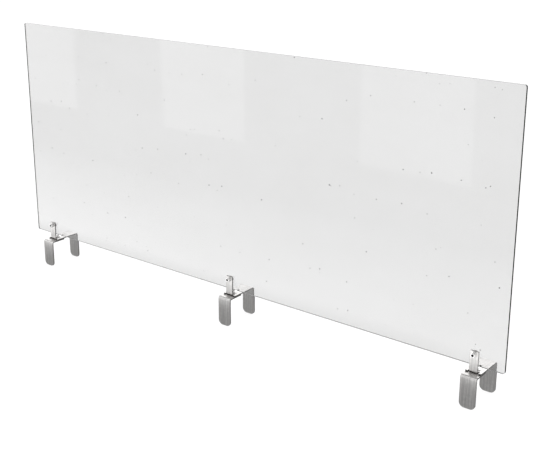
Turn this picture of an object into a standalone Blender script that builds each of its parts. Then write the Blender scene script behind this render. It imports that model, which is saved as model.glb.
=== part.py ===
"""Clear privacy panel on three adjustable saddle clamps, which drop over the top of a partition wall.

Metres, +Z up, +X to the right along the panel, +Y to the back.
The origin is on the seat of the middle clamp: the underside of its front jaw, where it rests on the
partition's top, halfway along the panel and under the middle of the panel's thickness.
Each clamp is two bent strips of steel.  The rear strap runs from the post that carries the panel to
the rear leg.  The front jaw lies under it, and slides front to back when the clamp screw is loose.
"""
import math

import bmesh
import bpy
from mathutils import Vector

# Driving dimensions, in metres.
GAP = 0.0003                 # air between two pieces that touch

PANEL_WIDTH = 1.499
PANEL_HEIGHT = 0.610
PANEL_THICKNESS = 0.006
PANEL_CORNER_RADIUS = 0.005
PANEL_EDGE_BEVEL = 0.0005

CLAMP_SPACING = 0.680        # between the middle clamp and each end clamp
METAL = 0.003                # thickness of the steel strip
STRIP_WIDTH = 0.0381
BEND_INNER_RADIUS = 0.003
LEG_CORNER_RADIUS = 0.012
STRIP_EDGE_BEVEL = 0.0003

LEG_DROP = 0.072             # how far the legs hang below the seat
LEG_GAP = 0.093              # between the two legs as shown
FRONT_LEG_INNER_Y = -0.0234
PANEL_LIFT = 0.0142          # from the strap's top to the panel's bottom edge

POST_WIDTH = 0.020
POST_HEIGHT = 0.0482         # from the strap's top to the post's top
POST_CORNER_RADIUS = 0.0015
RELIEF_WIDTH = 0.0025        # the slits beside the post, which let it bend up
RELIEF_DEPTH = 0.0085
SHOULDER_CORNER_RADIUS = 0.002

SLOT_WIDTH = 0.0068
SLOT_REAR_Y = 0.035
CLAMP_SCREW_Y = 0.0112       # with the jaw as shown
JAW_TRAVEL_OUT = 0.002       # the jaw's travel to the front
JAW_PLATE_REAR_Y = 0.0202
JAW_PLATE_CORNER_RADIUS = 0.004

SCREW_RADIUS = 0.003
CAP_HEAD_RADIUS = 0.005
CAP_HEAD_HEIGHT = 0.006
CAP_SOCKET_RADIUS = 0.0029   # to the corners of the hexagon
CAP_SOCKET_DEPTH = 0.003
BUTTON_HEAD_RADIUS = 0.00525
BUTTON_HEAD_HEIGHT = 0.0033
BUTTON_SOCKET_RADIUS = 0.0023
BUTTON_SOCKET_DEPTH = 0.0018
HEAD_EDGE = 0.0006
SCREW_CHAMFER = 0.0005
WASHER_THICKNESS = 0.0016
PANEL_WASHER_RADIUS = 0.006
CLAMP_WASHER_RADIUS = 0.009
WASHER_HOLE_RADIUS = 0.0034
WASHER_EDGE = 0.0003

PANEL_SCREW_LIFT = 0.0263    # from the panel's bottom edge to the screw
BARREL_RADIUS = 0.004
BARREL_FLANGE_RADIUS = 0.0065
BARREL_FLANGE_THICKNESS = 0.0018
PANEL_HOLE_RADIUS = 0.0044
POST_HOLE_RADIUS = 0.0034
SOFT_WASHER_RADIUS = 0.007
SOFT_WASHER_THICKNESS = 0.0008
CLINCH_NUT_RADIUS = 0.0046
CLINCH_HOLE_RADIUS = 0.0050
CLINCH_NUT_RECESS = 0.0003   # how far the nut stays inside the jaw's underside

BUTTON_CROWN_DEGREES = (30, 45, 60, 75, 90)     # round the dome, from its flat top to its rim
BUTTON_DOME_SHARE = 0.75     # how much of the button head's height is dome

BEND_STEPS = 5
CORNER_STEPS = 5
SMALL_CORNER_STEPS = 4
SLOT_END_STEPS = 6
ROUND_SIDES = 16
MERGE_DISTANCE = 0.00001
SMOOTH_BELOW_DEGREES = 35
BEVEL_ABOVE_DEGREES = 60
FLAT_WITHIN_DEGREES = 0.5

# Places worked out from them.
BEND_MID_RADIUS = BEND_INNER_RADIUS + METAL / 2
JAW_MID_Z = METAL / 2
STRAP_BOTTOM_Z = METAL + GAP
STRAP_MID_Z = STRAP_BOTTOM_Z + METAL / 2
STRAP_TOP_Z = STRAP_BOTTOM_Z + METAL
PANEL_FRONT_Y = -PANEL_THICKNESS / 2
PANEL_BOTTOM_Z = STRAP_TOP_Z + PANEL_LIFT
POST_MID_Y = PANEL_FRONT_Y - GAP - METAL / 2
POST_FRONT_Y = POST_MID_Y - METAL / 2
POST_TOP_Z = STRAP_TOP_Z + POST_HEIGHT
FRONT_LEG_MID_Y = FRONT_LEG_INNER_Y - METAL / 2
REAR_LEG_MID_Y = FRONT_LEG_INNER_Y + LEG_GAP + METAL / 2
SLOT_FRONT_Y = CLAMP_SCREW_Y - JAW_TRAVEL_OUT - SLOT_WIDTH / 2 - GAP
PANEL_SCREW_Z = PANEL_BOTTOM_Z + PANEL_SCREW_LIFT
BORE_RADIUS = SCREW_RADIUS + GAP
CLAMP_PLACES = {"left": -CLAMP_SPACING, "middle": 0.0, "right": CLAMP_SPACING}


def make_material(name, colour, roughness, metallic, transmission=0.0):
    material = bpy.data.materials.new(name)
    material.use_nodes = True
    shader = material.node_tree.nodes["Principled BSDF"]
    shader.inputs["Base Color"].default_value = (*colour, 1.0)
    shader.inputs["Roughness"].default_value = roughness
    shader.inputs["Metallic"].default_value = metallic
    shader.inputs["Transmission Weight"].default_value = transmission
    return material


def make_object(name, mesh, material, collection):
    obj = bpy.data.objects.new(name, mesh)
    obj.data.materials.clear()
    obj.data.materials.append(material)
    collection.objects.link(obj)
    return obj


def shade_round(obj):
    obj.data.shade_smooth()
    obj.data.set_sharp_from_angle(angle=math.radians(SMOOTH_BELOW_DEGREES))


def add_bevel(obj, width):
    bevel = obj.modifiers.new("edge_round", "BEVEL")
    bevel.width = width
    bevel.segments = 1
    bevel.limit_method = "ANGLE"
    bevel.angle_limit = math.radians(BEVEL_ABOVE_DEGREES)


def corner(centre, radius, start_degrees, end_degrees, steps=CORNER_STEPS):
    """Points along a round corner."""
    points = []
    for i in range(steps + 1):
        angle = math.radians(start_degrees + (end_degrees - start_degrees) * i / steps)
        points.append((centre[0] + radius * math.cos(angle), centre[1] + radius * math.sin(angle)))
    return points


def circle(centre, radius, sides=ROUND_SIDES):
    return corner(centre, radius, 0, 360 * (sides - 1) / sides, sides - 1)


def slot_outline(low_end, high_end, width):
    """A round-ended slot along the second axis."""
    radius = width / 2
    low = corner((0, low_end + radius), radius, 180, 360, SLOT_END_STEPS)
    high = corner((0, high_end - radius), radius, 0, 180, SLOT_END_STEPS)
    return low + high


def flat_mesh(name, outlines, thickness=0.0):
    """A flat sheet in XY from closed outlines, the first outside and the rest its holes."""
    curve = bpy.data.curves.new(name, "CURVE")
    curve.dimensions = "2D"
    curve.fill_mode = "BOTH"
    curve.extrude = thickness / 2
    for outline in outlines:
        spline = curve.splines.new("POLY")
        spline.points.add(len(outline) - 1)
        for point, (x, y) in zip(spline.points, outline):
            point.co = (x, y, 0, 1)
        spline.use_cyclic_u = True
    holder = bpy.data.objects.new(name + "_outline", curve)
    bpy.context.scene.collection.objects.link(holder)
    bpy.context.view_layer.update()
    evaluated = holder.evaluated_get(bpy.context.evaluated_depsgraph_get())
    mesh = bpy.data.meshes.new_from_object(evaluated)
    mesh.name = name
    bpy.data.objects.remove(holder)
    bpy.data.curves.remove(curve)
    bm = bmesh.new()
    bm.from_mesh(mesh)
    bmesh.ops.remove_doubles(bm, verts=bm.verts, dist=MERGE_DISTANCE)
    bm.to_mesh(mesh)
    bm.free()
    return mesh


class BentStrip:
    """The line that a strip follows, seen from its side: straight runs joined by quarter bends."""

    def __init__(self, start, heading):
        self.place = Vector(start)
        self.heading = Vector(heading)
        self.length = 0.0
        self.runs = []

    def straight(self, length):
        self.runs.append(("straight", self.length, length, self.place.copy(), self.heading.copy(), None))
        self.place = self.place + self.heading * length
        self.length += length

    def bend(self, towards):
        """A quarter bend at the standard radius, which ends pointing towards the given direction."""
        towards = Vector(towards)
        length = BEND_MID_RADIUS * math.pi / 2
        self.runs.append(("bend", self.length, length, self.place.copy(), self.heading.copy(), towards))
        self.place = self.place + (self.heading + towards) * BEND_MID_RADIUS
        self.length += length
        self.heading = towards

    def cut_lines(self):
        """Where the flat sheet needs an edge across it, to bend there."""
        lines = []
        for kind, begin, length, _, _, _ in self.runs:
            if kind == "bend":
                lines += [begin + length * i / BEND_STEPS for i in range(BEND_STEPS + 1)]
        return lines

    def point(self, distance):
        """The side-view point that lies this far along the strip."""
        for kind, begin, length, place, heading, towards in self.runs:
            if distance <= begin + length + MERGE_DISTANCE:
                break
        along = distance - begin
        if kind == "straight":
            return place + heading * along
        angle = along / BEND_MID_RADIUS
        swing = heading * math.sin(angle) + towards * (1 - math.cos(angle))
        return place + swing * BEND_MID_RADIUS


def bend_sheet(mesh, strip, stays_flat=None):
    """Bend a flat sheet along a strip.  stays_flat says which points go straight on at the last bend."""
    bm = bmesh.new()
    bm.from_mesh(mesh)
    for distance in strip.cut_lines():
        geometry = bm.verts[:] + bm.edges[:] + bm.faces[:]
        bmesh.ops.bisect_plane(bm, geom=geometry, dist=MERGE_DISTANCE, plane_co=(0, distance, 0),
                               plane_no=(0, 1, 0))
    _, last_begin, _, last_place, last_heading, _ = strip.runs[-2]
    for vert in bm.verts:
        across, along = vert.co.x, vert.co.y
        if stays_flat and along > last_begin and stays_flat(across):
            side = last_place + last_heading * (along - last_begin)
        else:
            side = strip.point(along)
        vert.co = (across, side.x, side.y)
    flat_within = math.radians(FLAT_WITHIN_DEGREES)
    bmesh.ops.dissolve_limit(bm, angle_limit=flat_within, verts=bm.verts, edges=bm.edges)
    bm.normal_update()
    bm.to_mesh(mesh)
    bm.free()


def finish_sheet(obj):
    solid = obj.modifiers.new("metal", "SOLIDIFY")
    solid.thickness = METAL
    solid.offset = 0
    add_bevel(obj, STRIP_EDGE_BEVEL)


def leg_end():
    """The round-cornered end of a leg, from its left side to its right."""
    half = STRIP_WIDTH / 2
    inner = half - LEG_CORNER_RADIUS
    left = corner((-inner, LEG_CORNER_RADIUS), LEG_CORNER_RADIUS, 180, 270)
    right = corner((inner, LEG_CORNER_RADIUS), LEG_CORNER_RADIUS, 270, 360)
    return left + right


def mirrored(points):
    """The same points on the other side, in the order that carries an outline on."""
    return [(-x, y) for x, y in reversed(points)]


def rear_strap_mesh():
    """Rear leg, slotted plate and the post that bends up in front of the panel, as one bent strip."""
    strip = BentStrip((REAR_LEG_MID_Y, -LEG_DROP), (0, 1))
    strip.straight(LEG_DROP + STRAP_MID_Z - BEND_MID_RADIUS)
    strip.bend((-1, 0))
    plate_begin = strip.length
    plate_begin_y = REAR_LEG_MID_Y - BEND_MID_RADIUS
    strip.straight(plate_begin_y - (POST_MID_Y + BEND_MID_RADIUS))
    plate_end = strip.length
    strip.bend((0, 1))
    strip.straight(POST_TOP_Z - STRAP_MID_Z - BEND_MID_RADIUS)

    def along(y):
        return plate_begin + plate_begin_y - y

    half = STRIP_WIDTH / 2
    post = POST_WIDTH / 2
    shoulder = along(POST_FRONT_Y)
    slit = post + RELIEF_WIDTH
    slit_end = shoulder - RELIEF_DEPTH
    round_by = SHOULDER_CORNER_RADIUS
    right = corner((half - round_by, shoulder - round_by), round_by, 0, 90, SMALL_CORNER_STEPS)
    right += [(slit, shoulder)]
    right += corner((post + RELIEF_WIDTH / 2, slit_end + RELIEF_WIDTH / 2), RELIEF_WIDTH / 2, 0, -180,
                    SMALL_CORNER_STEPS)
    right += corner((post - POST_CORNER_RADIUS, strip.length - POST_CORNER_RADIUS), POST_CORNER_RADIUS, 0, 90,
                    SMALL_CORNER_STEPS)
    outline = leg_end() + right + mirrored(right)
    slot = slot_outline(along(SLOT_REAR_Y), along(SLOT_FRONT_Y), SLOT_WIDTH)
    hole_at = plate_end + BEND_MID_RADIUS * math.pi / 2 + PANEL_SCREW_Z - STRAP_MID_Z - BEND_MID_RADIUS
    hole = circle((0, hole_at), POST_HOLE_RADIUS)
    mesh = flat_mesh("rear_strap", [outline, slot, hole])
    bend_sheet(mesh, strip, lambda x: abs(x) > post + RELIEF_WIDTH / 2)
    return mesh


def front_jaw_mesh():
    """Front leg and the plate that slides under the rear strap."""
    strip = BentStrip((FRONT_LEG_MID_Y, -LEG_DROP), (0, 1))
    strip.straight(LEG_DROP + JAW_MID_Z - BEND_MID_RADIUS)
    strip.bend((1, 0))
    plate_begin = strip.length
    plate_begin_y = FRONT_LEG_MID_Y + BEND_MID_RADIUS
    strip.straight(JAW_PLATE_REAR_Y - plate_begin_y)
    half = STRIP_WIDTH / 2
    round_by = JAW_PLATE_CORNER_RADIUS
    right = corner((half - round_by, strip.length - round_by), round_by, 0, 90)
    outline = leg_end() + right + mirrored(right)
    hole = circle((0, plate_begin + CLAMP_SCREW_Y - plate_begin_y), CLINCH_HOLE_RADIUS)
    mesh = flat_mesh("front_jaw", [outline, hole])
    bend_sheet(mesh, strip)
    return mesh


def panel_mesh():
    """The clear sheet, standing up, with a hole for each panel screw."""
    half = PANEL_WIDTH / 2 - PANEL_CORNER_RADIUS
    low = PANEL_BOTTOM_Z + PANEL_CORNER_RADIUS
    high = PANEL_BOTTOM_Z + PANEL_HEIGHT - PANEL_CORNER_RADIUS
    outline = corner((half, high), PANEL_CORNER_RADIUS, 0, 90, SMALL_CORNER_STEPS)
    outline += corner((-half, high), PANEL_CORNER_RADIUS, 90, 180, SMALL_CORNER_STEPS)
    outline += corner((-half, low), PANEL_CORNER_RADIUS, 180, 270, SMALL_CORNER_STEPS)
    outline += corner((half, low), PANEL_CORNER_RADIUS, 270, 360, SMALL_CORNER_STEPS)
    holes = [circle((x, PANEL_SCREW_Z), PANEL_HOLE_RADIUS) for x in CLAMP_PLACES.values()]
    mesh = flat_mesh("clear_panel", [outline] + holes, PANEL_THICKNESS)
    for vert in mesh.vertices:
        vert.co = (vert.co.x, -vert.co.z, vert.co.y)
    mesh.update()
    return mesh


def turned(name, profile, material, collection):
    """A turned piece about its own Z axis.  The profile is (radius, height) from the top down the outside."""
    mesh = bpy.data.meshes.new(name)
    mesh.from_pydata([(r, 0, z) for r, z in profile], [(i, i + 1) for i in range(len(profile) - 1)], [])
    obj = make_object(name, mesh, material, collection)
    screw = obj.modifiers.new("turn", "SCREW")
    screw.steps = ROUND_SIDES
    screw.render_steps = ROUND_SIDES
    screw.use_merge_vertices = True
    screw.merge_threshold = MERGE_DISTANCE
    return obj


def ring_profile(inner, outer, bottom, top, edge):
    """A washer's section, closed on itself."""
    return [(inner, top), (outer - edge, top), (outer, top - edge), (outer, bottom + edge),
            (outer - edge, bottom), (inner, bottom), (inner, top)]


def hex_cutter(name, radius, depth, top, collection):
    mesh = bpy.data.meshes.new(name)
    bm = bmesh.new()
    bmesh.ops.create_cone(bm, cap_ends=True, segments=6, radius1=radius, radius2=radius, depth=2 * depth)
    bmesh.ops.translate(bm, verts=bm.verts, vec=(0, 0, top))
    bm.to_mesh(mesh)
    bm.free()
    obj = bpy.data.objects.new(name, mesh)
    obj.hide_render = True
    obj.display_type = "WIRE"
    collection.objects.link(obj)
    return obj


def cut(obj, cutter):
    boolean = obj.modifiers.new("socket", "BOOLEAN")
    boolean.operation = "DIFFERENCE"
    boolean.solver = "EXACT"
    boolean.object = cutter


def cap_screw(name, shank_length, material, parts, cutters):
    """Socket cap screw.  Its head's underside is at z = 0 and its shank points down."""
    chamfer = SCREW_CHAMFER
    profile = [
        (0, CAP_HEAD_HEIGHT),
        (CAP_HEAD_RADIUS - HEAD_EDGE, CAP_HEAD_HEIGHT),
        (CAP_HEAD_RADIUS, CAP_HEAD_HEIGHT - HEAD_EDGE),
        (CAP_HEAD_RADIUS, 0),
        (SCREW_RADIUS, 0),
        (SCREW_RADIUS, chamfer - shank_length),
        (SCREW_RADIUS - chamfer, -shank_length),
        (0, -shank_length),
    ]
    obj = turned(name, profile, material, parts)
    socket = hex_cutter(name + "_socket", CAP_SOCKET_RADIUS, CAP_SOCKET_DEPTH, CAP_HEAD_HEIGHT, cutters)
    socket.parent = obj
    cut(obj, socket)
    return obj


def button_screw(name, shank_length, material, parts, cutters):
    """Button head screw with a domed head."""
    chamfer = SCREW_CHAMFER
    rim = BUTTON_HEAD_HEIGHT * (1 - BUTTON_DOME_SHARE)
    dome = BUTTON_HEAD_HEIGHT - rim
    angles = [math.radians(degrees) for degrees in BUTTON_CROWN_DEGREES]
    crown = [(BUTTON_HEAD_RADIUS * math.sin(angle), rim + dome * math.cos(angle)) for angle in angles]
    profile = [(0, crown[0][1])] + crown + [
        (BUTTON_HEAD_RADIUS, 0),
        (SCREW_RADIUS, 0),
        (SCREW_RADIUS, chamfer - shank_length),
        (SCREW_RADIUS - chamfer, -shank_length),
        (0, -shank_length),
    ]
    obj = turned(name, profile, material, parts)
    socket = hex_cutter(name + "_socket", BUTTON_SOCKET_RADIUS, BUTTON_SOCKET_DEPTH, crown[0][1], cutters)
    socket.parent = obj
    cut(obj, socket)
    return obj


def barrel_nut(name, material, parts):
    """Flanged sleeve that fills the panel's hole from behind.  Its flange's underside is at z = 0."""
    reach = PANEL_THICKNESS + SOFT_WASHER_THICKNESS + GAP
    flange = BARREL_FLANGE_RADIUS
    profile = [
        (0, BARREL_FLANGE_THICKNESS),
        (flange - HEAD_EDGE, BARREL_FLANGE_THICKNESS),
        (flange, BARREL_FLANGE_THICKNESS - HEAD_EDGE),
        (flange, 0),
        (BARREL_RADIUS, 0),
        (BARREL_RADIUS, -reach),
        (BORE_RADIUS, -reach),
        (BORE_RADIUS, 0),
        (0, 0),
    ]
    return turned(name, profile, material, parts)


def place(obj, parent, location, face=None):
    """Put an object under its empty; face turns its own +Z to the front or to the back."""
    obj.parent = parent
    obj.location = location
    if face == "front":
        obj.rotation_euler = (math.radians(90), 0, 0)
    if face == "back":
        obj.rotation_euler = (math.radians(-90), 0, 0)


def make_clamp(side, x, meshes, materials, parts, cutters):
    """One saddle clamp with everything that fastens it and the panel."""
    clamp = bpy.data.objects.new("clamp_" + side, None)
    clamp.location = (x, 0, 0)
    parts.objects.link(clamp)
    slide = bpy.data.objects.new("jaw_slide_" + side, None)
    slide.parent = clamp
    slide.location = (0, CLAMP_SCREW_Y, 0)
    parts.objects.link(slide)
    steel, bright, nylon = materials

    strap = make_object("rear_strap_" + side, meshes[0], steel, parts)
    place(strap, clamp, (0, 0, 0))
    finish_sheet(strap)
    jaw = make_object("front_jaw_" + side, meshes[1], steel, parts)
    place(jaw, slide, (0, -CLAMP_SCREW_Y, 0))
    finish_sheet(jaw)

    section = ring_profile(WASHER_HOLE_RADIUS, CLAMP_WASHER_RADIUS, 0, WASHER_THICKNESS, WASHER_EDGE)
    washer = turned("clamp_washer_" + side, section, bright, parts)
    washer_z = STRAP_TOP_Z + GAP
    place(washer, slide, (0, 0, washer_z))
    head_z = washer_z + WASHER_THICKNESS + GAP
    screw = button_screw("clamp_screw_" + side, head_z - CLINCH_NUT_RECESS, bright, parts, cutters)
    place(screw, slide, (0, 0, head_z))
    section = ring_profile(BORE_RADIUS, CLINCH_NUT_RADIUS, CLINCH_NUT_RECESS, METAL - GAP, WASHER_EDGE)
    nut = turned("clinch_nut_" + side, section, bright, parts)
    place(nut, slide, (0, 0, 0))

    washer_y = POST_FRONT_Y - GAP
    section = ring_profile(WASHER_HOLE_RADIUS, PANEL_WASHER_RADIUS, 0, WASHER_THICKNESS, WASHER_EDGE)
    washer = turned("panel_screw_washer_" + side, section, bright, parts)
    place(washer, clamp, (0, washer_y, PANEL_SCREW_Z), "front")
    head_y = washer_y - WASHER_THICKNESS - GAP
    screw_end_y = -PANEL_FRONT_Y + GAP + SOFT_WASHER_THICKNESS
    screw = cap_screw("panel_screw_" + side, screw_end_y - head_y, bright, parts, cutters)
    place(screw, clamp, (0, head_y, PANEL_SCREW_Z), "front")
    soft_y = -PANEL_FRONT_Y + GAP
    section = ring_profile(BARREL_RADIUS + GAP, SOFT_WASHER_RADIUS, 0, SOFT_WASHER_THICKNESS, WASHER_EDGE)
    soft = turned("soft_washer_" + side, section, nylon, parts)
    place(soft, clamp, (0, soft_y, PANEL_SCREW_Z), "back")
    barrel = barrel_nut("barrel_nut_" + side, bright, parts)
    place(barrel, clamp, (0, soft_y + SOFT_WASHER_THICKNESS + GAP, PANEL_SCREW_Z), "back")


def main():
    for obj in list(bpy.data.objects):
        bpy.data.objects.remove(obj)
    parts = bpy.data.collections.new("privacy_panel")
    cutters = bpy.data.collections.new("cutters")
    for collection in (parts, cutters):
        bpy.context.scene.collection.children.link(collection)

    clear = make_material("clear_acrylic", (0.93, 0.94, 0.94), 0.03, 0.0, 1.0)
    steel = make_material("brushed_steel", (0.56, 0.56, 0.54), 0.34, 1.0)
    bright = make_material("bright_steel", (0.80, 0.80, 0.79), 0.18, 1.0)
    nylon = make_material("clear_nylon", (0.86, 0.86, 0.84), 0.45, 0.0)

    panel = make_object("clear_panel", panel_mesh(), clear, parts)
    add_bevel(panel, PANEL_EDGE_BEVEL)

    meshes = (rear_strap_mesh(), front_jaw_mesh())
    for side, x in CLAMP_PLACES.items():
        make_clamp(side, x, meshes, (steel, bright, nylon), parts, cutters)
    for obj in parts.objects:
        if obj.type == "MESH":
            shade_round(obj)


main()
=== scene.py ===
"""Looks for the clear privacy panel on its three steel saddle clamps.

Metres, +Z up, +X to the right along the panel, +Y to the back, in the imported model's own frame.
Every piece is rebuilt finely around its CAD node and rides on that node's body.
"""
import math

import bmesh
import bpy
from mathutils import Matrix, Vector


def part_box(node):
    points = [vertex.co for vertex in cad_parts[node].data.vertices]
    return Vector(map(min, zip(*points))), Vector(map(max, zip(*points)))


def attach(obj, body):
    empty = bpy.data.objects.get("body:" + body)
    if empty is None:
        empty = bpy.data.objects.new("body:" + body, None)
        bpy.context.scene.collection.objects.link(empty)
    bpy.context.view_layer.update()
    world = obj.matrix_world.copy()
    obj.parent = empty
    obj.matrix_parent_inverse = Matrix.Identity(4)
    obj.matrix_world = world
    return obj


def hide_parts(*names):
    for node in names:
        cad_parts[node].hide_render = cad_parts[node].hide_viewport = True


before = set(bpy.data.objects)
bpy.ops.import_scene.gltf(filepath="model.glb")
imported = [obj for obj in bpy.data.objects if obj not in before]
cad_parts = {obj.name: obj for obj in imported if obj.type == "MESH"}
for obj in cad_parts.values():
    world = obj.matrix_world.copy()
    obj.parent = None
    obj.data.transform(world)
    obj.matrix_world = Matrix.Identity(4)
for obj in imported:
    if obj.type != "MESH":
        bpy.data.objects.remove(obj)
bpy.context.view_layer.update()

SIDES = ("left", "middle", "right")

# Sizes that a CAD node's box doesn't give.
GAP = 0.0003                 # air between two pieces that touch
METAL = 0.003                # thickness of the steel strip
BEND_INNER_RADIUS = 0.003
BEND_MID_RADIUS = BEND_INNER_RADIUS + METAL / 2
LEG_CORNER_RADIUS = 0.012
POST_WIDTH = 0.020
POST_CORNER_RADIUS = 0.0015
RELIEF_WIDTH = 0.0025        # the slits beside the post
RELIEF_DEPTH = 0.0085
SHOULDER_CORNER_RADIUS = 0.002
JAW_CORNER_RADIUS = 0.004
SLOT_WIDTH = 0.0068
SLOT_FRONT = 0.0057          # from the clamp screw's axis to the slot's front end
SLOT_REAR = 0.0238           # and to its rear end
POST_HOLE_RADIUS = 0.0034
CLINCH_HOLE_RADIUS = 0.0050
STEEL_EDGE_ROUND = 0.00035
PATTERN_STEP = 0.31          # along the brushing, from one clamp to the next
JAW_PATTERN_STEP = 0.17      # and from a strap to its jaw

PANEL_CORNER_RADIUS = 0.005
PANEL_HOLE_RADIUS = 0.0044
PANEL_EDGE_ROUND = 0.0005

SCREW_RADIUS = 0.003
CAP_HEAD_HEIGHT = 0.006
CAP_SOCKET_RADIUS = 0.0029
CAP_SOCKET_DEPTH = 0.003
BUTTON_HEAD_HEIGHT = 0.00296
BUTTON_SOCKET_RADIUS = 0.0023
BUTTON_SOCKET_DEPTH = 0.0013
BUTTON_RIM = 0.0008          # the straight part of the button head's side
WASHER_HOLE_RADIUS = 0.0034
BARREL_RADIUS = 0.004
BARREL_FLANGE = 0.0018
BARREL_SOCKET_RADIUS = 0.0023
BARREL_SOCKET_DEPTH = 0.0012
KNURL_DEPTH = 0.00012

BEND_STEPS = 12
CORNER_STEPS = 12
HOLE_SIDES = 48
TURNED_SIDES = 72
SOCKET_RINGS = 5
EDGE_SEGMENTS = 3
MERGE_DISTANCE = 0.00001
FLAT_WITHIN_DEGREES = 0.5
BEVEL_ABOVE_DEGREES = 60
SHARP_ABOVE_DEGREES = 40

# Camera and stage.
CAMERA_PLACE = (1.513, -1.764, 0.983)
CAMERA_YAW_DEGREES = 38.42
CAMERA_PITCH_DEGREES = 16.80
CAMERA_LENS = 64.0
CAMERA_SHIFT = (0.0206, -0.0640)
FLOOR_RADIUS = 14.0
FLOOR_SIDES = 96
FLOOR_GAP = 0.0005           # below the legs

# Studio cards, which show only in gloss.  Glows are radiances; 1 is the white of the background.
BACKDROP_DISTANCE = 0.9      # in front of the panel
BACKDROP_SPAN = 3.0          # in panel widths
BACKDROP_FOOT_GLOW = 0.68
BACKDROP_TOP_GLOW = 0.35
SOFTBOX_COUNT = 5            # upright softboxes, evenly spaced along the backdrop
SOFTBOX_WIDTH_SHARE = 0.45   # of their spacing
SOFTBOX_FOOT_SHARE = 0.22    # of the backdrop's height
SOFTBOX_GLOW = 1.25
FLAG_FRONT = 0.150           # the dark flag on the floor, in front of the panel
FLAG_BACK = 0.10             # and behind it
FLAG_FADE = 0.090            # how far it takes to fade into the floor strip, so no edge is mirrored
FLAG_GLOW = 0.42
REFLECTOR_GLOW = 2.4         # the floor strip beside the flag, which fades to the backdrop's foot
CARD_GAP = 0.002             # from a softbox to the backdrop behind it
FLOOR_CARD_LIFT = 0.0005     # from the floor to the cards on it
BACKDROP_OVER_SHARE = 0.25   # how far it rises over the sheet, in the sheet's heights

# Sky heights, from -1 straight down to 1 straight up, and how bright each is.
SKY = ((-1.0, 0.40), (-0.28, 0.42), (-0.12, 1.0), (0.08, 1.05), (0.16, 2.40), (0.50, 2.20), (0.68, 0.50),
       (1.0, 0.40))
FLOOR_EMISSION = 0.80
KEY_STRENGTH = 0.4
KEY_SOFTNESS_DEGREES = 60
KEY_FROM = (-0.5, -0.7, 1.0)


# ---------------------------------------------------------------- shading

class Shading:
    """A material whose nodes are added one after another."""

    def __init__(self, name):
        self.material = bpy.data.materials.new(name)
        self.material.use_nodes = True
        self.tree = self.material.node_tree
        self.shader = self.tree.nodes["Principled BSDF"]

    def add(self, kind, inputs=None, **settings):
        """A new node; an input is a plain value or another node's output."""
        node = self.tree.nodes.new("ShaderNode" + kind)
        for key, value in settings.items():
            setattr(node, key, value)
        self.feed(node, inputs or {})
        return node

    def feed(self, node, inputs):
        for key, value in inputs.items():
            if isinstance(value, bpy.types.NodeSocket):
                self.tree.links.new(value, node.inputs[key])
            else:
                node.inputs[key].default_value = value

    def math(self, operation, first, second=0.0, clamp=False):
        return self.add("Math", {0: first, 1: second}, operation=operation, use_clamp=clamp).outputs[0]

    def spread(self, value, low, high, out_low=0.0, out_high=1.0):
        """The value's range from low to high, spread over another range."""
        inputs = {"Value": value, "From Min": low, "From Max": high, "To Min": out_low, "To Max": out_high}
        return self.add("MapRange", inputs).outputs["Result"]

    def blend(self, share, first, second):
        """A colour between two colours."""
        mix = self.add("Mix", data_type="RGBA")
        self.feed(mix, {0: share, 6: first, 7: second})
        return mix.outputs[2]

    def noise(self, vector, scale, detail=3.0, roughness=0.5, stretch=(1, 1, 1)):
        stretched = self.add("VectorMath", {0: vector, 1: stretch}, operation="MULTIPLY").outputs[0]
        inputs = {"Vector": stretched, "Scale": scale, "Detail": detail, "Roughness": roughness}
        return self.add("TexNoise", inputs).outputs["Fac"]

    def near_edge(self, radius):
        """1 on the rounded edges of a piece and 0 on its flats."""
        rounded = self.add("Bevel", {"Radius": radius}, samples=6).outputs[0]
        true_normal = self.add("NewGeometry").outputs["Normal"]
        alike = self.add("VectorMath", {0: rounded, 1: true_normal}, operation="DOT_PRODUCT").outputs["Value"]
        return self.spread(alike, 1.0, 0.85)

    def bump(self, height, distance, strength=1.0):
        inputs = {"Height": height, "Distance": distance, "Strength": strength}
        return self.add("Bump", inputs).outputs[0]


def grey(level, warmth=0.0):
    """A neutral colour; a positive warmth turns it a little yellow."""
    return (level * (1 + warmth), level, level * (1 - warmth), 1.0)


def brushed_steel():
    """Satin stainless strip, brushed along its length, with dulled handling marks and painted shade that
    darkens its rounded edges.
    """
    look = Shading("brushed_steel")
    flat = look.add("UVMap", uv_map="flat_pattern").outputs[0]
    grain = look.noise(flat, 1.0, 5.0, 0.6, stretch=(2600, 70, 1))
    fine = look.noise(flat, 1.0, 2.0, 0.5, stretch=(9000, 160, 1))
    lines = look.math("ADD", look.math("MULTIPLY", grain, 0.65), look.math("MULTIPLY", fine, 0.35))
    mottle = look.noise(flat, 160, 4.0, 0.6)
    streaks = look.noise(flat, 1.0, 3.0, 0.6, stretch=(420, 9, 1))
    handled = look.noise(flat, 45, 2.0, 0.5)
    edge = look.near_edge(0.0012)

    shade = look.math("ADD", look.math("MULTIPLY", lines, 0.7), look.math("MULTIPLY", mottle, 0.3))
    metal = look.blend(look.spread(shade, 0.38, 0.62), grey(0.54, 0.012), grey(0.74, 0.016))
    metal = look.blend(look.spread(streaks, 0.60, 0.42, 0.0, 0.46), metal, grey(0.36, 0.012))
    # painted shade: the rounded edges darken towards grey 0.26
    metal = look.blend(look.math("MULTIPLY", edge, 0.55), metal, grey(0.26, 0.02))
    dull = look.spread(handled, 0.45, 0.75, 0.0, 0.09)
    satin = look.math("ADD", look.spread(lines, 0.3, 0.7, 0.27, 0.37), dull)
    look.feed(look.shader, {
        "Base Color": metal,
        "Metallic": 1.0,
        "Roughness": satin,
        "Anisotropic": 0.65,
        "Tangent": look.add("Tangent", direction_type="UV_MAP", uv_map="flat_pattern").outputs[0],
        "Normal": look.bump(lines, 0.000012),
    })
    return look.material


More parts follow.
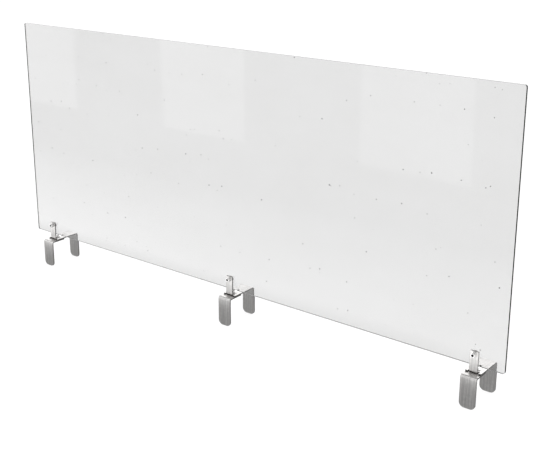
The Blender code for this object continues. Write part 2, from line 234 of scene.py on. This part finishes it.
def cut_edge_painted_shade():
    """The strip's cut edges: rough and torn across the thickness, with painted shade that makes them near
    black.
    """
    look = Shading("cut_edge_painted_shade")
    place = look.add("TexCoord").outputs["Object"]
    torn = look.noise(place, 1800, 4.0, 0.65)
    patches = look.noise(place, 240, 2.0, 0.5)
    # painted shade: the cut edges are near black, varied by torn grain and paler patches
    tone = look.blend(torn, grey(0.03, 0.02), grey(0.09, 0.03))
    look.feed(look.shader, {
        "Base Color": look.blend(look.spread(patches, 0.4, 0.7, 0.0, 0.4), tone, grey(0.16, 0.03)),
        "Metallic": 0.4,
        "Roughness": look.spread(torn, 0.3, 0.7, 0.42, 0.6),
        "Normal": look.bump(torn, 0.00003),
    })
    return look.material


def socket_painted_shade():
    """Inside a key socket: near black with painted shade, and broaching marks."""
    look = Shading("socket_painted_shade")
    place = look.add("TexCoord").outputs["Object"]
    marks = look.noise(place, 1.0, 3.0, 0.6, stretch=(4000, 4000, 500))
    look.feed(look.shader, {
        # painted shade of the deep socket: near black, varied by the broaching marks
        "Base Color": look.blend(marks, grey(0.012), grey(0.05, 0.02)),
        "Metallic": 0.6,
        "Roughness": look.spread(marks, 0.3, 0.7, 0.35, 0.55),
        "Normal": look.bump(marks, 0.00001),
    })
    return look.material


def bright_steel():
    """Zinc-bright machined steel, with turning marks round its own axis and a painted highlight on its rounded
    edges.
    """
    look = Shading("bright_steel")
    place = look.add("TexCoord").outputs["Object"]
    parts = look.add("SeparateXYZ", {0: place})
    flat = look.add("CombineXYZ", {"X": parts.outputs["X"], "Y": parts.outputs["Y"]}).outputs[0]
    radius = look.add("VectorMath", {0: flat}, operation="LENGTH").outputs["Value"]
    turned = look.add("CombineXYZ", {"X": radius, "Y": parts.outputs["Z"]}).outputs[0]
    rings = look.noise(turned, 7000, 2.0, 0.5)
    cloud = look.noise(place, 900, 3.0, 0.6)
    edge = look.near_edge(0.0005)
    tone = look.blend(look.spread(cloud, 0.35, 0.65), grey(0.70, 0.004), grey(0.84, 0.010))
    # painted highlight: the rounded edges lighten towards grey 0.92
    tone = look.blend(look.math("MULTIPLY", edge, 0.35), tone, grey(0.92))
    look.feed(look.shader, {
        "Base Color": tone,
        "Metallic": 1.0,
        "Roughness": look.spread(rings, 0.3, 0.7, 0.16, 0.27),
        "Normal": look.bump(rings, 0.000006),
    })
    return look.material


def clear_nylon():
    """Milky, slightly waxy washer material."""
    look = Shading("clear_nylon")
    place = look.add("TexCoord").outputs["Object"]
    cloud = look.noise(place, 700, 4.0, 0.6)
    look.feed(look.shader, {
        "Base Color": look.blend(cloud, grey(0.80, 0.02), grey(0.90, 0.03)),
        "Roughness": look.spread(cloud, 0.3, 0.7, 0.35, 0.5),
        "Transmission Weight": 0.35,
        "IOR": 1.53,
        "Normal": look.bump(cloud, 0.00002),
    })
    return look.material


def clear_acrylic():
    """Cast acrylic: very slightly wavy, faintly grey, with dust on both faces and wiped-on haze."""
    look = Shading("clear_acrylic")
    place = look.add("TexCoord").outputs["Object"]
    axes = look.add("SeparateXYZ", {0: place})
    # Each face reads its own stretch of the pattern.
    shift = look.math("MULTIPLY", look.math("SIGN", axes.outputs["Y"]), 7.3)
    spot = look.add("CombineXYZ", {"X": look.math("ADD", axes.outputs["X"], shift), "Y": axes.outputs["Z"]})
    cells = look.add("TexVoronoi", {"Vector": spot.outputs[0], "Scale": 14.0}, voronoi_dimensions="2D")
    kept = look.add("SeparateColor", {0: cells.outputs["Color"]})
    size = look.spread(kept.outputs[0], 0.0, 1.0, 0.014, 0.030)
    speck = look.spread(look.math("DIVIDE", cells.outputs["Distance"], size), 1.0, 0.6)
    speck = look.math("MULTIPLY", speck, look.spread(kept.outputs[1], 0.45, 0.85), clamp=True)
    wipe = look.noise(place, 3.0, 5.0, 0.6, stretch=(1, 1, 2.2))
    haze = look.spread(wipe, 0.4, 0.75)
    tint = look.blend(haze, grey(0.735), grey(0.715, 0.002))
    wave = look.noise(place, 2.2, 1.0, 0.4)
    look.feed(look.shader, {
        "Base Color": look.blend(speck, tint, grey(0.03)),
        "Roughness": look.math("ADD", look.math("MULTIPLY", haze, 0.02), 0.045),
        "Transmission Weight": 1.0,
        "IOR": 1.49,
        "Normal": look.bump(wave, 0.0012),
    })
    return look.material


def acrylic_edge():
    """The sheet's cut edges: sawn, then polished, with painted shade and light by which way each faces:
    nearly black at the two ends, where light comes from the whole length of the sheet, dark grey with
    saw marks elsewhere, and pale grey along the bottom."""
    look = Shading("acrylic_edge")
    coordinates = look.add("TexCoord")
    place = coordinates.outputs["Object"]
    facing = look.add("SeparateXYZ", {0: coordinates.outputs["Normal"]})
    end = look.spread(look.math("ABSOLUTE", facing.outputs["X"]), 0.5, 0.9)
    bottom = look.spread(facing.outputs["Z"], -0.5, -0.9)
    saw = look.noise(place, 1.0, 3.0, 0.6, stretch=(1400, 40, 1400))
    # painted shade: the top and other edges are dark grey, varied by the saw marks
    depth = look.blend(saw, grey(0.10), grey(0.16))
    # painted shade: the end faces go near black
    depth = look.blend(end, depth, grey(0.004))
    # painted light: the downward faces go pale grey
    depth = look.blend(bottom, depth, grey(0.70))
    look.feed(look.shader, {
        "Base Color": depth,
        "Roughness": look.spread(saw, 0.3, 0.7, 0.10, 0.22),
        "Specular IOR Level": 0.06,
        "IOR": 1.49,
        "Normal": look.bump(saw, 0.00002),
    })
    return look.material


# ---------------------------------------------------------------- bent strips

def corner(centre, radius, start_degrees, end_degrees, steps=CORNER_STEPS):
    """Points along a round corner."""
    points = []
    for i in range(steps + 1):
        angle = math.radians(start_degrees + (end_degrees - start_degrees) * i / steps)
        points.append((centre[0] + radius * math.cos(angle), centre[1] + radius * math.sin(angle)))
    return points


def circle(centre, radius):
    return corner(centre, radius, 0, 360 * (HOLE_SIDES - 1) / HOLE_SIDES, HOLE_SIDES - 1)


def mirrored(points):
    """The same points on the other side, in the order that carries an outline on."""
    return [(-x, y) for x, y in reversed(points)]


def flat_mesh(name, outlines, thickness=0.0):
    """A flat sheet in XY from closed outlines, the first outside and the rest its holes."""
    curve = bpy.data.curves.new(name, "CURVE")
    curve.dimensions = "2D"
    curve.fill_mode = "BOTH"
    curve.extrude = thickness / 2
    for outline in outlines:
        spline = curve.splines.new("POLY")
        spline.points.add(len(outline) - 1)
        for point, (x, y) in zip(spline.points, outline):
            point.co = (x, y, 0, 1)
        spline.use_cyclic_u = True
    holder = bpy.data.objects.new(name + "_outline", curve)
    bpy.context.scene.collection.objects.link(holder)
    bpy.context.view_layer.update()
    evaluated = holder.evaluated_get(bpy.context.evaluated_depsgraph_get())
    mesh = bpy.data.meshes.new_from_object(evaluated)
    mesh.name = name
    bpy.data.objects.remove(holder)
    bpy.data.curves.remove(curve)
    bm = bmesh.new()
    bm.from_mesh(mesh)
    bmesh.ops.remove_doubles(bm, verts=bm.verts, dist=MERGE_DISTANCE)
    bm.to_mesh(mesh)
    bm.free()
    return mesh


class BentStrip:
    """The line that a strip follows, seen from its side: straight runs joined by quarter bends."""

    def __init__(self, start, heading):
        self.place = Vector(start)
        self.heading = Vector(heading)
        self.length = 0.0
        self.runs = []

    def straight(self, length):
        self.runs.append(("straight", self.length, length, self.place.copy(), self.heading.copy(), None))
        self.place = self.place + self.heading * length
        self.length += length

    def bend(self, towards):
        """A quarter bend at the standard radius, which ends pointing towards the given direction."""
        towards = Vector(towards)
        length = BEND_MID_RADIUS * math.pi / 2
        self.runs.append(("bend", self.length, length, self.place.copy(), self.heading.copy(), towards))
        self.place = self.place + (self.heading + towards) * BEND_MID_RADIUS
        self.length += length
        self.heading = towards

    def cut_lines(self):
        """Where the flat sheet needs an edge across it, to bend there."""
        lines = []
        for kind, begin, length, _, _, _ in self.runs:
            if kind == "bend":
                lines += [begin + length * i / BEND_STEPS for i in range(BEND_STEPS + 1)]
        return lines

    def point(self, distance):
        """The side-view point that lies this far along the strip."""
        for kind, begin, length, place, heading, towards in self.runs:
            if distance <= begin + length + MERGE_DISTANCE:
                break
        along = distance - begin
        if kind == "straight":
            return place + heading * along
        angle = along / BEND_MID_RADIUS
        swing = heading * math.sin(angle) + towards * (1 - math.cos(angle))
        return place + swing * BEND_MID_RADIUS


def bend_sheet(mesh, strip, stays_flat=None):
    """Bend a flat sheet along a strip and keep its flat pattern as a UV map, in metres.
    stays_flat says which points go straight on at the last bend."""
    bm = bmesh.new()
    bm.from_mesh(mesh)
    for distance in strip.cut_lines():
        geometry = bm.verts[:] + bm.edges[:] + bm.faces[:]
        bmesh.ops.bisect_plane(bm, geom=geometry, dist=MERGE_DISTANCE, plane_co=(0, distance, 0),
                               plane_no=(0, 1, 0))
    pattern = bm.loops.layers.uv.new("flat_pattern")
    for face in bm.faces:
        for loop in face.loops:
            loop[pattern].uv = loop.vert.co.xy
    _, last_begin, _, last_place, last_heading, _ = strip.runs[-2]
    for vert in bm.verts:
        across, along = vert.co.x, vert.co.y
        if stays_flat and along > last_begin and stays_flat(across):
            side = last_place + last_heading * (along - last_begin)
        else:
            side = strip.point(along)
        vert.co = (across, side.x, side.y)
    flat_within = math.radians(FLAT_WITHIN_DEGREES)
    bmesh.ops.dissolve_limit(bm, angle_limit=flat_within, verts=bm.verts, edges=bm.edges)
    bm.to_mesh(mesh)
    bm.free()


def leg_end(half):
    """The round-cornered end of a leg, from its left side to its right."""
    inner = half - LEG_CORNER_RADIUS
    left = corner((-inner, LEG_CORNER_RADIUS), LEG_CORNER_RADIUS, 180, 270)
    right = corner((inner, LEG_CORNER_RADIUS), LEG_CORNER_RADIUS, 270, 360)
    return left + right


def slot_outline(low_end, high_end):
    """A round-ended slot along the strip."""
    radius = SLOT_WIDTH / 2
    low = corner((0, low_end + radius), radius, 180, 360)
    high = corner((0, high_end - radius), radius, 0, 180)
    return low + high


def rear_strap_mesh(box, seat_z, slide_y, screw_z):
    """Rear leg, slotted plate and the post that bends up in front of the panel."""
    low, high = box
    half = (high.x - low.x) / 2
    mid_z = seat_z + METAL + GAP + METAL / 2
    leg_y = high.y - METAL / 2
    post_y = low.y + METAL / 2
    strip = BentStrip((leg_y, low.z), (0, 1))
    strip.straight(mid_z - BEND_MID_RADIUS - low.z)
    strip.bend((-1, 0))
    plate_begin = strip.length
    plate_begin_y = leg_y - BEND_MID_RADIUS
    strip.straight(plate_begin_y - post_y - BEND_MID_RADIUS)
    strip.bend((0, 1))
    post_begin = strip.length
    post_begin_z = mid_z + BEND_MID_RADIUS
    strip.straight(high.z - post_begin_z)

    def along(y):
        return plate_begin + plate_begin_y - y

    post = POST_WIDTH / 2
    shoulder = along(low.y)
    slit_mid = post + RELIEF_WIDTH / 2
    slit_end = shoulder - RELIEF_DEPTH
    round_by = SHOULDER_CORNER_RADIUS
    right = corner((half - round_by, shoulder - round_by), round_by, 0, 90)
    right += [(post + RELIEF_WIDTH, shoulder)]
    right += corner((slit_mid, slit_end + RELIEF_WIDTH / 2), RELIEF_WIDTH / 2, 0, -180)
    tip = (post - POST_CORNER_RADIUS, strip.length - POST_CORNER_RADIUS)
    right += corner(tip, POST_CORNER_RADIUS, 0, 90)
    outline = leg_end(half) + right + mirrored(right)
    slot = slot_outline(along(slide_y + SLOT_REAR), along(slide_y - SLOT_FRONT))
    hole = circle((0, post_begin + screw_z - post_begin_z), POST_HOLE_RADIUS)
    mesh = flat_mesh("rear_strap", [outline, slot, hole])
    bend_sheet(mesh, strip, lambda x: abs(x) > slit_mid)
    return mesh


def front_jaw_mesh(box, slide_y):
    """Front leg and the plate that slides under the rear strap."""
    low, high = box
    half = (high.x - low.x) / 2
    mid_z = high.z - METAL / 2
    leg_y = low.y + METAL / 2
    strip = BentStrip((leg_y, low.z), (0, 1))
    strip.straight(mid_z - BEND_MID_RADIUS - low.z)
    strip.bend((1, 0))
    plate_begin = strip.length
    plate_begin_y = leg_y + BEND_MID_RADIUS
    strip.straight(high.y - plate_begin_y)
    round_by = JAW_CORNER_RADIUS
    right = corner((half - round_by, strip.length - round_by), round_by, 0, 90)
    outline = leg_end(half) + right + mirrored(right)
    hole = circle((0, plate_begin + slide_y - plate_begin_y), CLINCH_HOLE_RADIUS)
    mesh = flat_mesh("front_jaw", [outline, hole])
    bend_sheet(mesh, strip)
    return mesh


def soften(obj, width):
    """Round every edge and keep the flats flat in the shading."""
    bevel = obj.modifiers.new("edge_round", "BEVEL")
    bevel.width = width
    bevel.segments = EDGE_SEGMENTS
    bevel.limit_method = "ANGLE"
    bevel.angle_limit = math.radians(BEVEL_ABOVE_DEGREES)
    obj.data.shade_smooth()
    obj.modifiers.new("flat_shading", "WEIGHTED_NORMAL").keep_sharp = True


def make_strip(name, mesh, x, pattern_shift, face_material, rim_material):
    """One bent strip; the shift gives each its own stretch of brushing."""
    mesh = mesh.copy()
    for loop in mesh.uv_layers["flat_pattern"].data:
        loop.uv.y += pattern_shift
    obj = make_object(name, mesh, face_material)
    mesh.materials.append(rim_material)
    obj.location = (x, 0, 0)
    solid = obj.modifiers.new("metal", "SOLIDIFY")
    solid.thickness = METAL
    solid.offset = 0
    solid.material_offset_rim = 1
    soften(obj, STEEL_EDGE_ROUND)
    return obj


# ---------------------------------------------------------------- turned pieces

def make_object(name, mesh, material):
    obj = bpy.data.objects.new(name, mesh)
    mesh.materials.append(material)
    bpy.context.scene.collection.objects.link(obj)
    return obj


def round_ring(radius):
    return lambda i: radius


def hexagon_ring(corner_radius):
    """A hexagon with its corners at this radius."""
    def reach(i):
        angle = (360 * i / TURNED_SIDES) % 60 - 30
        return corner_radius * math.cos(math.radians(30)) / math.cos(math.radians(angle))
    return reach


def knurled_ring(radius):
    """A ring of fine upright ridges."""
    return lambda i: radius - KNURL_DEPTH * (i % 2)


def arc(radius, height, size, start_degrees, end_degrees, steps=6):
    """Plain rings that follow a rounded edge, about a centre at this radius and height."""
    points = corner((radius, height), size, start_degrees, end_degrees, steps)
    return [(round_ring(r), z) for r, z in points]


def lofted(name, rings, closed, material, socket_shade_material=None):
    """A piece about its own Z axis from rings that run down its outside.
    A closed one is a hollow ring; otherwise the first and last rings are capped.
    A socket shade material, if given, is the near-black painted shade of the key socket that the first
    SOCKET_RINGS rings make."""
    mesh = bpy.data.meshes.new(name)
    bm = bmesh.new()
    loops = []
    for reach, z in rings:
        loop = []
        for i in range(TURNED_SIDES):
            angle = 2 * math.pi * i / TURNED_SIDES
            loop.append(bm.verts.new((reach(i) * math.cos(angle), reach(i) * math.sin(angle), z)))
        loops.append(loop)
    pairs = list(zip(loops, loops[1:]))
    if closed:
        pairs.append((loops[-1], loops[0]))
    else:
        bm.faces.new(loops[0]).material_index = 1 if socket_shade_material else 0
        bm.faces.new(reversed(loops[-1]))
    for order, (upper, lower) in enumerate(pairs):
        # faces in the key socket take the material of painted shade
        in_socket_shade = socket_shade_material and order < SOCKET_RINGS - 1
        for i in range(TURNED_SIDES):
            j = (i + 1) % TURNED_SIDES
            bm.faces.new((upper[i], lower[i], lower[j], upper[j])).material_index = 1 if in_socket_shade else 0
    bmesh.ops.recalc_face_normals(bm, faces=bm.faces)
    bm.to_mesh(mesh)
    bm.free()
    mesh.shade_smooth()
    mesh.set_sharp_from_angle(angle=math.radians(SHARP_ABOVE_DEGREES))
    obj = make_object(name, mesh, material)
    if socket_shade_material:
        mesh.materials.append(socket_shade_material)
    return obj


def socket_rings(radius, depth, top):
    """A hexagon socket, from its drilled floor up to its countersunk mouth."""
    lead = 0.0002
    return [
        (hexagon_ring(radius * 0.1), top - depth - radius * 0.4),
        (hexagon_ring(radius * 0.9), top - depth),
        (hexagon_ring(radius), top - depth),
        (hexagon_ring(radius), top - lead),
        (round_ring(radius + lead), top),
    ]


def shank_rings(length):
    """The screw's shank below its head, with threads that stop short of the head."""
    pitch = 0.001
    depth = 0.0003
    rings = [(round_ring(SCREW_RADIUS), 0), (round_ring(SCREW_RADIUS), -pitch)]
    turns = int((length - 2 * pitch) / pitch)
    for i in range(turns):
        z = -pitch * (1 + i)
        rings.append((round_ring(SCREW_RADIUS - depth), z - pitch * 0.4))
        rings.append((round_ring(SCREW_RADIUS), z - pitch * 0.9))
    rings += [(round_ring(SCREW_RADIUS - depth), -length + depth), (round_ring(SCREW_RADIUS * 0.75), -length)]
    return rings


def cap_screw(name, size, material, socket_shade_material):
    """Socket cap screw with a knurled head.  Its head's underside is at z = 0."""
    radius, length = size
    top = CAP_HEAD_HEIGHT
    crown = 0.0006
    rings = socket_rings(CAP_SOCKET_RADIUS, CAP_SOCKET_DEPTH, top)
    rings += arc(radius - crown, top - crown, crown, 90, 0)
    rings += [
        (knurled_ring(radius), top - crown - 0.0002),
        (knurled_ring(radius), 0.0006),
        (round_ring(radius - KNURL_DEPTH), 0.0004),
        (round_ring(radius - 0.0003), 0),
    ]
    return lofted(name, rings + shank_rings(length - top), False, material, socket_shade_material)


def button_screw(name, size, material, socket_shade_material):
    """Button head screw with a domed head.  Its head's underside is at z = 0."""
    radius, length = size
    top = BUTTON_HEAD_HEIGHT
    mouth = BUTTON_SOCKET_RADIUS + 0.0002
    rings = socket_rings(BUTTON_SOCKET_RADIUS, BUTTON_SOCKET_DEPTH, top)
    for degrees in range(0, 91, 9):
        share = math.sin(math.radians(degrees))
        fall = math.cos(math.radians(degrees))
        rings.append((round_ring(mouth + 0.0001 + (radius - mouth - 0.0001) * share),
                      BUTTON_RIM + (top - BUTTON_RIM) * fall))
    rings.append((round_ring(radius), 0.0002))
    rings.append((round_ring(radius - 0.0002), 0))
    return lofted(name, rings + shank_rings(length - top), False, material, socket_shade_material)


def ring_rings(inner, outer, height, edge):
    """A flat ring with rounded outer edges and slightly broken inner ones."""
    broken = edge / 2
    rings = [(round_ring(inner + broken), height)]
    rings += arc(outer - edge, height - edge, edge, 90, 0)
    rings += arc(outer - edge, edge, edge, 0, -90)
    rings += [(round_ring(inner + broken), 0), (round_ring(inner), broken)]
    rings.append((round_ring(inner), height - broken))
    return rings


def washer(name, size, material):
    """Plain washer with tumbled edges."""
    radius, length = size
    return lofted(name, ring_rings(WASHER_HOLE_RADIUS, radius, length, 0.0003), True, material)


def soft_washer(name, size, material):
    """Thin nylon washer with full round edges."""
    radius, length = size
    return lofted(name, ring_rings(BARREL_RADIUS + GAP, radius, length, length * 0.45), True, material)


def clinch_nut(name, size, material):
    """Press-in nut: a ring with a knurled rim."""
    radius, length = size
    step = 0.0003
    bore = SCREW_RADIUS + GAP
    rings = [
        (round_ring(bore + step), length),
        (round_ring(radius - step), length),
        (knurled_ring(radius), length - step),
        (knurled_ring(radius), step),
        (round_ring(radius - step), 0),
        (round_ring(bore + step), 0),
        (round_ring(bore), step),
        (round_ring(bore), length - step),
    ]
    return lofted(name, rings, True, material)


def barrel_nut(name, size, material):
    """Flanged sleeve with a shallow key socket.  Its flange's underside is at z = 0."""
    radius, length = size
    top = BARREL_FLANGE
    edge = 0.0007
    bore = SCREW_RADIUS + GAP
    reach = length - top
    rings = [(hexagon_ring(BARREL_SOCKET_RADIUS), top - BARREL_SOCKET_DEPTH)]
    rings.append((hexagon_ring(BARREL_SOCKET_RADIUS), top - 0.0002))
    rings.append((round_ring(BARREL_SOCKET_RADIUS + 0.0002), top))
    rings += arc(radius - edge, top - edge, edge, 90, 0)
    rings += [
        (round_ring(radius), 0.0002),
        (round_ring(radius - 0.0002), 0),
        (round_ring(BARREL_RADIUS), 0),
        (round_ring(BARREL_RADIUS), 0.0003 - reach),
        (round_ring(BARREL_RADIUS - 0.0003), -reach),
        (round_ring(bore), -reach),
        (round_ring(bore), -0.0001),
    ]
    return lofted(name, rings, False, material)


# ---------------------------------------------------------------- the sheet

def clear_sheet(box, hole_places, materials):
    """The panel, standing up, with a hole for each panel screw.  materials are its faces' and its edges'."""
    low, high = box
    radius = PANEL_CORNER_RADIUS
    outline = []
    for x, z, start in ((high.x - radius, high.z - radius, 0), (low.x + radius, high.z - radius, 90),
                        (low.x + radius, low.z + radius, 180), (high.x - radius, low.z + radius, 270)):
        outline += corner((x, z), radius, start, start + 90)
    holes = [circle(place, PANEL_HOLE_RADIUS) for place in hole_places]
    mesh = flat_mesh("clear_sheet", [outline] + holes, high.y - low.y)
    mesh.transform(Matrix.Rotation(math.radians(90), 4, "X"))
    sheet = make_object("clear_sheet", mesh, materials[0])
    mesh.materials.append(materials[1])
    for face in mesh.polygons:
        face.material_index = 0 if abs(face.normal.y) > 0.5 else 1
    soften(sheet, PANEL_EDGE_ROUND)
    sheet.visible_shadow = False
    return sheet


# ---------------------------------------------------------------- assembly

def stands_for(obj, node, body):
    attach(obj, body)
    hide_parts(node)


def add_turned(prefix, side, build, facing, body, materials):
    """A turned piece in the place of its CAD node, with its head facing up, to the front or to the back."""
    node = f"{prefix}_{side}"
    low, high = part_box(node)
    axis = 2 if facing == "up" else 1
    radius = (high.x - low.x) / 2
    length = high[axis] - low[axis]
    head = HEAD_HEIGHTS.get(prefix, length)
    obj = build(node + "_turned", (radius, length), *materials)
    place = (low + high) / 2
    if facing == "front":
        place.y = low.y + head
        obj.rotation_euler = (math.radians(90), 0, 0)
    elif facing == "back":
        place.y = high.y - head
        obj.rotation_euler = (math.radians(-90), 0, 0)
    else:
        place.z = high.z - head
    obj.location = place
    stands_for(obj, node, body)


# Pieces with a key socket, which gets a material of painted shade of its own.
SOCKETED = (cap_screw, button_screw)
# How far a piece's head or flange stands out; the other pieces are all head.
HEAD_HEIGHTS = {
    "panel_screw": CAP_HEAD_HEIGHT,
    "clamp_screw": BUTTON_HEAD_HEIGHT,
    "barrel_nut": BARREL_FLANGE,
}
# Which node, how it is made, where its head faces, whether it slides with the jaw, and its finish.
TURNED_PIECES = (
    ("panel_screw", cap_screw, "front", False, "bright_steel"),
    ("panel_screw_washer", washer, "front", False, "bright_steel"),
    ("barrel_nut", barrel_nut, "back", False, "bright_steel"),
    ("soft_washer", soft_washer, "back", False, "clear_nylon"),
    ("clamp_screw", button_screw, "up", True, "bright_steel"),
    ("clamp_washer", washer, "up", True, "bright_steel"),
    ("clinch_nut", clinch_nut, "up", True, "bright_steel"),
)


def build_clamps(finishes):
    strap_low, strap_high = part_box("rear_strap_middle")
    jaw_low, jaw_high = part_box("front_jaw_middle")
    slide_low, slide_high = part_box("clamp_screw_middle")
    screw_low, screw_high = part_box("panel_screw_middle")
    slide_y = (slide_low.y + slide_high.y) / 2
    screw_z = (screw_low.z + screw_high.z) / 2
    seat_z = jaw_high.z - METAL
    strap = rear_strap_mesh((strap_low, strap_high), seat_z, slide_y, screw_z)
    jaw = front_jaw_mesh((jaw_low, jaw_high), slide_y)
    for order, side in enumerate(SIDES):
        low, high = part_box(f"rear_strap_{side}")
        x = (low.x + high.x) / 2
        shift = PATTERN_STEP * order
        steel = (finishes["brushed_steel"], finishes["cut_edge_painted_shade"])
        rear = make_strip(f"rear_strap_{side}_bent", strap, x, shift, *steel)
        stands_for(rear, f"rear_strap_{side}", "panel")
        front = make_strip(f"front_jaw_{side}_bent", jaw, x, shift + JAW_PATTERN_STEP, *steel)
        stands_for(front, f"front_jaw_{side}", f"jaw_{side}")
        for prefix, build, facing, slides, finish in TURNED_PIECES:
            body = f"jaw_{side}" if slides else "panel"
            materials = [finishes[finish]]
            if build in SOCKETED:
                # the key socket's material of painted shade
                materials.append(finishes["socket_painted_shade"])
            add_turned(prefix, side, build, facing, body, materials)


def build_sheet(finishes):
    places = []
    for side in SIDES:
        low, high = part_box(f"panel_screw_{side}")
        middle = (low + high) / 2
        places.append((middle.x, middle.z))
    sheet = clear_sheet(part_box("clear_panel"), places, (finishes["clear_acrylic"], finishes["acrylic_edge"]))
    stands_for(sheet, "clear_panel", "panel")


# ---------------------------------------------------------------- stage

def glow_material():
    """Plain light, as bright as the mesh's own glow."""
    look = Shading("studio_glow")
    glow = look.add("Attribute", attribute_name="glow").outputs["Color"]
    emission = look.add("Emission", {"Color": glow})
    look.tree.nodes.remove(look.shader)
    output = look.tree.nodes["Material Output"]
    look.tree.links.new(emission.outputs[0], output.inputs["Surface"])
    return look.material


def only_reflected(obj):
    """A studio card that shows in gloss and nowhere else."""
    obj.visible_camera = False
    obj.visible_diffuse = False
    obj.visible_transmission = False
    obj.visible_volume_scatter = False
    obj.visible_shadow = False


def glowing_cards(name, cards, material):
    """Flat cards; each is a list of corners (x, y, z, brightness)."""
    points = []
    faces = []
    glows = []
    for corners in cards:
        faces.append(list(range(len(points), len(points) + len(corners))))
        for x, y, z, brightness in corners:
            points.append((x, y, z))
            glows.append(grey(brightness))
    mesh = bpy.data.meshes.new(name)
    mesh.from_pydata(points, [], faces)
    colours = mesh.color_attributes.new("glow", "FLOAT_COLOR", "POINT")
    for value, glow in zip(colours.data, glows):
        value.color = glow
    obj = make_object(name, mesh, material)
    only_reflected(obj)


def upright_card(left, right, y, bottom, top, foot_glow, top_glow):
    """A card that faces the panel, graded from its foot to its top."""
    return [(left, y, bottom, foot_glow), (right, y, bottom, foot_glow),
            (right, y, top, top_glow), (left, y, top, top_glow)]


def floor_card(left, right, front, back, z, front_glow, back_glow):
    """A card that lies on the floor, graded from its front to its back."""
    return [(left, front, z, front_glow), (right, front, z, front_glow),
            (right, back, z, back_glow), (left, back, z, back_glow)]


def studio_cards(floor_z):
    """A graded backdrop with evenly spaced softboxes, a dark flag under the legs, and a bright strip
    on the floor in front of it."""
    low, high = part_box("clear_panel")
    middle = (low.x + high.x) / 2
    span = (high.x - low.x) * BACKDROP_SPAN
    left, right = middle - span / 2, middle + span / 2
    top = high.z + (high.z - low.z) * BACKDROP_OVER_SHARE
    wall_y = low.y - BACKDROP_DISTANCE
    cards = [upright_card(left, right, wall_y, floor_z, top, BACKDROP_FOOT_GLOW, BACKDROP_TOP_GLOW)]
    spacing = span / SOFTBOX_COUNT
    half = spacing * SOFTBOX_WIDTH_SHARE / 2
    foot = floor_z + (top - floor_z) * SOFTBOX_FOOT_SHARE
    box_y = wall_y + CARD_GAP
    for i in range(SOFTBOX_COUNT):
        x = left + spacing * (i + 0.5)
        cards.append(upright_card(x - half, x + half, box_y, foot, top, SOFTBOX_GLOW, SOFTBOX_GLOW))
    card_z = floor_z + FLOOR_CARD_LIFT
    flag_front = low.y - FLAG_FRONT
    fade_front = flag_front - FLAG_FADE
    cards.append(floor_card(left, right, flag_front, high.y + FLAG_BACK, card_z, FLAG_GLOW, FLAG_GLOW))
    cards.append(floor_card(left, right, fade_front, flag_front, card_z, REFLECTOR_GLOW, FLAG_GLOW))
    cards.append(floor_card(left, right, wall_y, fade_front, card_z, BACKDROP_FOOT_GLOW, REFLECTOR_GLOW))
    return cards


def build_stage():
    jaw_low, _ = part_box("front_jaw_middle")
    floor_z = jaw_low.z - FLOOR_GAP

    floor_mesh = bpy.data.meshes.new("floor")
    bm = bmesh.new()
    bmesh.ops.create_circle(bm, cap_ends=True, segments=FLOOR_SIDES, radius=FLOOR_RADIUS)
    bmesh.ops.translate(bm, verts=bm.verts, vec=(0, 0, floor_z))
    bm.to_mesh(floor_mesh)
    bm.free()
    look = Shading("pale_floor")
    speckle = look.noise(look.add("TexCoord").outputs["Object"], 60, 3.0)
    look.feed(look.shader, {
        "Base Color": look.blend(speckle, grey(0.24), grey(0.26)),
        "Roughness": 0.8,
        "Specular IOR Level": 0.0,
        "Emission Color": grey(1.0),
        "Emission Strength": FLOOR_EMISSION,
    })
    floor = make_object("floor", floor_mesh, look.material)
    floor.visible_glossy = False

    glowing_cards("studio_cards", studio_cards(floor_z), glow_material())


def build_world():
    """Bright all round the horizon, dimmer overhead and dim below, like a studio with a low wide softbox."""
    world = bpy.data.worlds.new("studio")
    world.use_nodes = True
    bpy.context.scene.world = world
    nodes, links = world.node_tree.nodes, world.node_tree.links
    direction = nodes.new("ShaderNodeTexCoord")
    height = nodes.new("ShaderNodeSeparateXYZ")
    ramp = nodes.new("ShaderNodeValToRGB")
    spread = nodes.new("ShaderNodeMapRange")
    spread.inputs["From Min"].default_value = -1.0
    spread.inputs["From Max"].default_value = 1.0
    links.new(direction.outputs["Generated"], height.inputs[0])
    links.new(height.outputs["Z"], spread.inputs["Value"])
    links.new(spread.outputs["Result"], ramp.inputs["Fac"])
    ramp.color_ramp.elements.remove(ramp.color_ramp.elements[1])
    for order, (sky_height, level) in enumerate(SKY):
        position = (sky_height + 1) / 2
        element = ramp.color_ramp.elements[0] if order == 0 else ramp.color_ramp.elements.new(position)
        element.position = position
        element.color = grey(level)
    links.new(ramp.outputs["Color"], nodes["Background"].inputs["Color"])


def build_key():
    """One very soft light, even over the whole floor."""
    light = bpy.data.lights.new("key", "SUN")
    light.energy = KEY_STRENGTH
    light.angle = math.radians(KEY_SOFTNESS_DEGREES)
    obj = bpy.data.objects.new("key", light)
    obj.rotation_euler = Vector(KEY_FROM).to_track_quat("Z", "Y").to_euler()
    bpy.context.scene.collection.objects.link(obj)


def build_camera():
    lens = bpy.data.cameras.new("camera")
    lens.lens = CAMERA_LENS
    lens.shift_x, lens.shift_y = CAMERA_SHIFT
    camera = bpy.data.objects.new("camera", lens)
    camera.location = CAMERA_PLACE
    pitch = math.radians(90 - CAMERA_PITCH_DEGREES)
    camera.rotation_euler = (pitch, 0, math.radians(CAMERA_YAW_DEGREES))
    bpy.context.scene.collection.objects.link(camera)
    bpy.context.scene.camera = camera


FINISHES = {build.__name__: build() for build in (
    brushed_steel, cut_edge_painted_shade, bright_steel, socket_painted_shade, clear_nylon, clear_acrylic, acrylic_edge)}
build_clamps(FINISHES)
build_sheet(FINISHES)
build_stage()
build_world()
build_key()
build_camera()
bpy.context.scene.view_settings.view_transform = "Standard"
